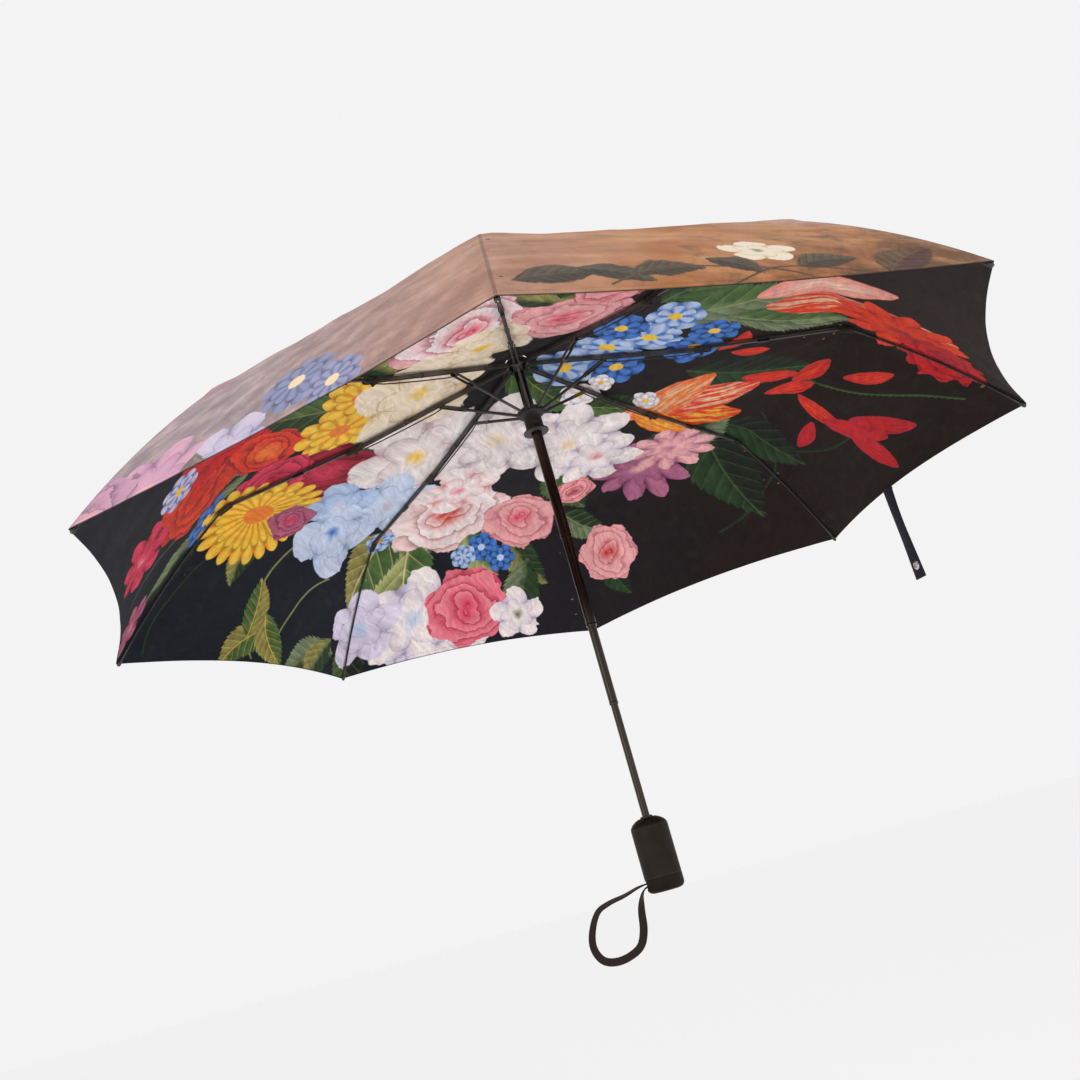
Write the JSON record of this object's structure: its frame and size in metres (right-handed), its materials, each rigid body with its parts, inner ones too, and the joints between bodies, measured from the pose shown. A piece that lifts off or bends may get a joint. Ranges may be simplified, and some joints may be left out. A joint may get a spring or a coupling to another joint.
{
  "type": "folding umbrella",
  "caption": "Compact folding umbrella, open: ribbed dome of printed fabric on hinged steel ribs, telescoping shaft, short round grip, wrist loop and closure strap with a snap.",
  "frame": {"origin": "on the shaft axis at the middle of the hand grip, where a hand holds the umbrella", "axes": "+Z along the shaft from the grip to the crown; +X towards rib 1; the other ribs follow anticlockwise seen from above"},
  "size_m": [0.9852, 0.9852, 0.6333],
  "materials": {
    "shaft_black": "gloss black with a warm sheen",
    "soft_black": "matte soft-touch",
    "plastic_black": "satin moulded",
    "steel_black": "satin black paint",
    "fabric_print": "woven, printed with flowers",
    "strap_dark": "woven",
    "webbing_dark": "flat webbing",
    "snap_metal": "polished"
  },
  "bodies": {
    "handle": {"grip": "soft_black", "grip_collar": "plastic_black", "end_cap": "soft_black", "lower_tube": "shaft_black"},
    "tube_three": {"third_tube": "shaft_black"},
    "tube_two": {"second_tube": "shaft_black"},
    "upper_shaft": {"upper_tube": "shaft_black", "crown": "plastic_black", "top_cap": "plastic_black", "canopy": "fabric_print"},
    "runner": {"runner": "plastic_black"},
    "button": {"push_button": "plastic_black"},
    "wrist_loop": {"wrist_strap": "webbing_dark"},
    "inner_1": {"inner_rib_1": "steel_black"},
    "middle_1": {"middle_rib_1": "steel_black"},
    "outer_1": {"outer_rib_1": "steel_black", "rib_tip_1": "plastic_black"},
    "stretch_1": {"stretcher_1": "steel_black"},
    "inner_2": {"inner_rib_2": "steel_black"},
    "middle_2": {"middle_rib_2": "steel_black"},
    "outer_2": {"outer_rib_2": "steel_black", "rib_tip_2": "plastic_black"},
    "stretch_2": {"stretcher_2": "steel_black"},
    "inner_3": {"inner_rib_3": "steel_black"},
    "middle_3": {"middle_rib_3": "steel_black"},
    "outer_3": {"outer_rib_3": "steel_black", "rib_tip_3": "plastic_black"},
    "stretch_3": {"stretcher_3": "steel_black"},
    "inner_4": {"inner_rib_4": "steel_black"},
    "middle_4": {"middle_rib_4": "steel_black"},
    "outer_4": {"outer_rib_4": "steel_black", "rib_tip_4": "plastic_black"},
    "stretch_4": {"stretcher_4": "steel_black"},
    "inner_5": {"inner_rib_5": "steel_black"},
    "middle_5": {"middle_rib_5": "steel_black"},
    "outer_5": {"outer_rib_5": "steel_black", "rib_tip_5": "plastic_black"},
    "stretch_5": {"stretcher_5": "steel_black"},
    "inner_6": {"inner_rib_6": "steel_black"},
    "middle_6": {"middle_rib_6": "steel_black"},
    "outer_6": {"outer_rib_6": "steel_black", "rib_tip_6": "plastic_black"},
    "stretch_6": {"stretcher_6": "steel_black"},
    "inner_7": {"inner_rib_7": "steel_black"},
    "middle_7": {"middle_rib_7": "steel_black"},
    "outer_7": {"outer_rib_7": "steel_black", "rib_tip_7": "plastic_black"},
    "stretch_7": {"stretcher_7": "steel_black"},
    "inner_8": {"inner_rib_8": "steel_black"},
    "middle_8": {"middle_rib_8": "steel_black"},
    "outer_8": {"outer_rib_8": "steel_black", "rib_tip_8": "plastic_black"},
    "stretch_8": {"stretcher_8": "steel_black"},
    "strap_end": {"strap_anchor": "strap_dark"},
    "tie_strap": {"closure_strap": "strap_dark", "snap_stud": "snap_metal"}
  },
  "joints": [
    {"name": "telescope", "type": "slide", "parent": "handle", "child": "tube_three", "axis": [0, 0, 1], "range_m": [-0.11, 0]},
    {"name": "telescope_two", "type": "slide", "parent": "tube_three", "child": "tube_two", "axis": [0, 0, 1], "range_m": [-0.081, 0]},
    {"name": "telescope_upper", "type": "slide", "parent": "tube_two", "child": "upper_shaft", "axis": [0, 0, 1], "range_m": [-0.097, 0]},
    {"name": "canopy_fold", "type": "hinge", "parent": "upper_shaft", "child": "inner_1", "pos_m": [0.0095, 0, 0.531], "axis": [0, 1, 0], "range_deg": [0, 72], "deforming": ["canopy"]},
    {"name": "middle_hinge_1", "type": "hinge", "parent": "inner_1", "child": "middle_1", "pos_m": [0.1926, 0, 0.4916], "axis": [0, 1, 0], "range_deg": [-170.2, 0]},
    {"name": "outer_hinge_1", "type": "hinge", "parent": "middle_1", "child": "outer_1", "pos_m": [0.3487, 0, 0.4635], "axis": [0, 1, 0], "range_deg": [0, 143]},
    {"name": "stretcher_hinge_1", "type": "hinge", "parent": "runner", "child": "stretch_1", "pos_m": [0.012, 0, 0.4724], "axis": [0, 1, 0], "range_deg": [-65.16, 0]},
    {"name": "inner_hinge_2", "type": "hinge", "parent": "upper_shaft", "child": "inner_2", "pos_m": [0.00672, 0.00672, 0.531], "axis": [-0.7071, 0.7071, 0], "range_deg": [0, 72]},
    {"name": "middle_hinge_2", "type": "hinge", "parent": "inner_2", "child": "middle_2", "pos_m": [0.13619, 0.13619, 0.4916], "axis": [-0.7071, 0.7071, 0], "range_deg": [-170.2, 0]},
    {"name": "outer_hinge_2", "type": "hinge", "parent": "middle_2", "child": "outer_2", "pos_m": [0.24657, 0.24657, 0.4635], "axis": [-0.7071, 0.7071, 0], "range_deg": [0, 143]},
    {"name": "stretcher_hinge_2", "type": "hinge", "parent": "runner", "child": "stretch_2", "pos_m": [0.00848, 0.00848, 0.4724], "axis": [-0.7071, 0.7071, 0], "range_deg": [-65.16, 0]},
    {"name": "inner_hinge_3", "type": "hinge", "parent": "upper_shaft", "child": "inner_3", "pos_m": [0, 0.0095, 0.531], "axis": [-1, 0, 0], "range_deg": [0, 72]},
    {"name": "middle_hinge_3", "type": "hinge", "parent": "inner_3", "child": "middle_3", "pos_m": [0, 0.1926, 0.4916], "axis": [-1, 0, 0], "range_deg": [-170.2, 0]},
    {"name": "outer_hinge_3", "type": "hinge", "parent": "middle_3", "child": "outer_3", "pos_m": [0, 0.3487, 0.4635], "axis": [-1, 0, 0], "range_deg": [0, 143]},
    {"name": "stretcher_hinge_3", "type": "hinge", "parent": "runner", "child": "stretch_3", "pos_m": [0, 0.012, 0.4724], "axis": [-1, 0, 0], "range_deg": [-65.16, 0]},
    {"name": "inner_hinge_4", "type": "hinge", "parent": "upper_shaft", "child": "inner_4", "pos_m": [-0.00672, 0.00672, 0.531], "axis": [-0.7071, -0.7071, 0], "range_deg": [0, 72]},
    {"name": "middle_hinge_4", "type": "hinge", "parent": "inner_4", "child": "middle_4", "pos_m": [-0.13619, 0.13619, 0.4916], "axis": [-0.7071, -0.7071, 0], "range_deg": [-170.2, 0]},
    {"name": "outer_hinge_4", "type": "hinge", "parent": "middle_4", "child": "outer_4", "pos_m": [-0.24657, 0.24657, 0.4635], "axis": [-0.7071, -0.7071, 0], "range_deg": [0, 143]},
    {"name": "stretcher_hinge_4", "type": "hinge", "parent": "runner", "child": "stretch_4", "pos_m": [-0.00848, 0.00848, 0.4724], "axis": [-0.7071, -0.7071, 0], "range_deg": [-65.16, 0]},
    {"name": "inner_hinge_5", "type": "hinge", "parent": "upper_shaft", "child": "inner_5", "pos_m": [-0.0095, 0, 0.531], "axis": [0, -1, 0], "range_deg": [0, 72]},
    {"name": "middle_hinge_5", "type": "hinge", "parent": "inner_5", "child": "middle_5", "pos_m": [-0.1926, 0, 0.4916], "axis": [0, -1, 0], "range_deg": [-170.2, 0]},
    {"name": "outer_hinge_5", "type": "hinge", "parent": "middle_5", "child": "outer_5", "pos_m": [-0.3487, 0, 0.4635], "axis": [0, -1, 0], "range_deg": [0, 143]},
    {"name": "stretcher_hinge_5", "type": "hinge", "parent": "runner", "child": "stretch_5", "pos_m": [-0.012, 0, 0.4724], "axis": [0, -1, 0], "range_deg": [-65.16, 0]},
    {"name": "inner_hinge_6", "type": "hinge", "parent": "upper_shaft", "child": "inner_6", "pos_m": [-0.00672, -0.00672, 0.531], "axis": [0.7071, -0.7071, 0], "range_deg": [0, 72]},
    {"name": "middle_hinge_6", "type": "hinge", "parent": "inner_6", "child": "middle_6", "pos_m": [-0.13619, -0.13619, 0.4916], "axis": [0.7071, -0.7071, 0], "range_deg": [-170.2, 0]},
    {"name": "outer_hinge_6", "type": "hinge", "parent": "middle_6", "child": "outer_6", "pos_m": [-0.24657, -0.24657, 0.4635], "axis": [0.7071, -0.7071, 0], "range_deg": [0, 143]},
    {"name": "stretcher_hinge_6", "type": "hinge", "parent": "runner", "child": "stretch_6", "pos_m": [-0.00848, -0.00848, 0.4724], "axis": [0.7071, -0.7071, 0], "range_deg": [-65.16, 0]},
    {"name": "inner_hinge_7", "type": "hinge", "parent": "upper_shaft", "child": "inner_7", "pos_m": [0, -0.0095, 0.531], "axis": [1, 0, 0], "range_deg": [0, 72]},
    {"name": "middle_hinge_7", "type": "hinge", "parent": "inner_7", "child": "middle_7", "pos_m": [0, -0.1926, 0.4916], "axis": [1, 0, 0], "range_deg": [-170.2, 0]},
    {"name": "outer_hinge_7", "type": "hinge", "parent": "middle_7", "child": "outer_7", "pos_m": [0, -0.3487, 0.4635], "axis": [1, 0, 0], "range_deg": [0, 143]},
    {"name": "stretcher_hinge_7", "type": "hinge", "parent": "runner", "child": "stretch_7", "pos_m": [0, -0.012, 0.4724], "axis": [1, 0, 0], "range_deg": [-65.16, 0]},
    {"name": "inner_hinge_8", "type": "hinge", "parent": "upper_shaft", "child": "inner_8", "pos_m": [0.00672, -0.00672, 0.531], "axis": [0.7071, 0.7071, 0], "range_deg": [0, 72]},
    {"name": "middle_hinge_8", "type": "hinge", "parent": "inner_8", "child": "middle_8", "pos_m": [0.13619, -0.13619, 0.4916], "axis": [0.7071, 0.7071, 0], "range_deg": [-170.2, 0]},
    {"name": "outer_hinge_8", "type": "hinge", "parent": "middle_8", "child": "outer_8", "pos_m": [0.24657, -0.24657, 0.4635], "axis": [0.7071, 0.7071, 0], "range_deg": [0, 143]},
    {"name": "stretcher_hinge_8", "type": "hinge", "parent": "runner", "child": "stretch_8", "pos_m": [0.00848, -0.00848, 0.4724], "axis": [0.7071, 0.7071, 0], "range_deg": [-65.16, 0]},
    {"name": "runner_slide", "type": "slide", "parent": "upper_shaft", "child": "runner", "axis": [0, 0, 1], "range_m": [-0.1113, 0]},
    {"name": "strap_gather", "type": "slide", "parent": "outer_4", "child": "strap_end", "axis": [-0.9239, -0.3827, 0], "range_m": [0, 0.13]},
    {"name": "closure_strap_swing", "type": "hinge", "parent": "strap_end", "child": "tie_strap", "pos_m": [-0.19666, 0.38949, 0.32744], "axis": [-0.7071, -0.7071, 0], "range_deg": [-44.8, 0]},
    {"name": "button_press", "type": "slide", "parent": "handle", "child": "button", "axis": [1, 0, 0], "range_m": [0, 0.0015], "stiffness_N_per_m": 600},
    {"name": "wrist_strap_swing", "type": "hinge", "parent": "handle", "child": "wrist_loop", "pos_m": [0, -0.0145, -0.0253], "axis": [1, 0, 0], "range_deg": [-15, 5]}
  ],
  "couplings": [
    {"joint": "telescope_two", "follows": "telescope", "ratio": 0.73636},
    {"joint": "telescope_upper", "follows": "telescope", "ratio": 0.88182},
    {"joint": "middle_hinge_1", "follows": "canopy_fold", "ratio": -2.3639},
    {"joint": "outer_hinge_1", "follows": "canopy_fold", "ratio": 1.9861},
    {"joint": "stretcher_hinge_1", "follows": "canopy_fold", "ratio": -0.905},
    {"joint": "inner_hinge_2", "follows": "canopy_fold", "ratio": 1},
    {"joint": "middle_hinge_2", "follows": "canopy_fold", "ratio": -2.3639},
    {"joint": "outer_hinge_2", "follows": "canopy_fold", "ratio": 1.9861},
    {"joint": "stretcher_hinge_2", "follows": "canopy_fold", "ratio": -0.905},
    {"joint": "inner_hinge_3", "follows": "canopy_fold", "ratio": 1},
    {"joint": "middle_hinge_3", "follows": "canopy_fold", "ratio": -2.3639},
    {"joint": "outer_hinge_3", "follows": "canopy_fold", "ratio": 1.9861},
    {"joint": "stretcher_hinge_3", "follows": "canopy_fold", "ratio": -0.905},
    {"joint": "inner_hinge_4", "follows": "canopy_fold", "ratio": 1},
    {"joint": "middle_hinge_4", "follows": "canopy_fold", "ratio": -2.3639},
    {"joint": "outer_hinge_4", "follows": "canopy_fold", "ratio": 1.9861},
    {"joint": "stretcher_hinge_4", "follows": "canopy_fold", "ratio": -0.905},
    {"joint": "inner_hinge_5", "follows": "canopy_fold", "ratio": 1},
    {"joint": "middle_hinge_5", "follows": "canopy_fold", "ratio": -2.3639},
    {"joint": "outer_hinge_5", "follows": "canopy_fold", "ratio": 1.9861},
    {"joint": "stretcher_hinge_5", "follows": "canopy_fold", "ratio": -0.905},
    {"joint": "inner_hinge_6", "follows": "canopy_fold", "ratio": 1},
    {"joint": "middle_hinge_6", "follows": "canopy_fold", "ratio": -2.3639},
    {"joint": "outer_hinge_6", "follows": "canopy_fold", "ratio": 1.9861},
    {"joint": "stretcher_hinge_6", "follows": "canopy_fold", "ratio": -0.905},
    {"joint": "inner_hinge_7", "follows": "canopy_fold", "ratio": 1},
    {"joint": "middle_hinge_7", "follows": "canopy_fold", "ratio": -2.3639},
    {"joint": "outer_hinge_7", "follows": "canopy_fold", "ratio": 1.9861},
    {"joint": "stretcher_hinge_7", "follows": "canopy_fold", "ratio": -0.905},
    {"joint": "inner_hinge_8", "follows": "canopy_fold", "ratio": 1},
    {"joint": "middle_hinge_8", "follows": "canopy_fold", "ratio": -2.3639},
    {"joint": "outer_hinge_8", "follows": "canopy_fold", "ratio": 1.9861},
    {"joint": "stretcher_hinge_8", "follows": "canopy_fold", "ratio": -0.905},
    {"joint": "runner_slide", "follows": "canopy_fold", "m_per_rad": -0.08857},
    {"joint": "strap_gather", "follows": "canopy_fold", "m_per_rad": 0.10345},
    {"joint": "closure_strap_swing", "follows": "canopy_fold", "ratio": -0.62222}
  ]
}
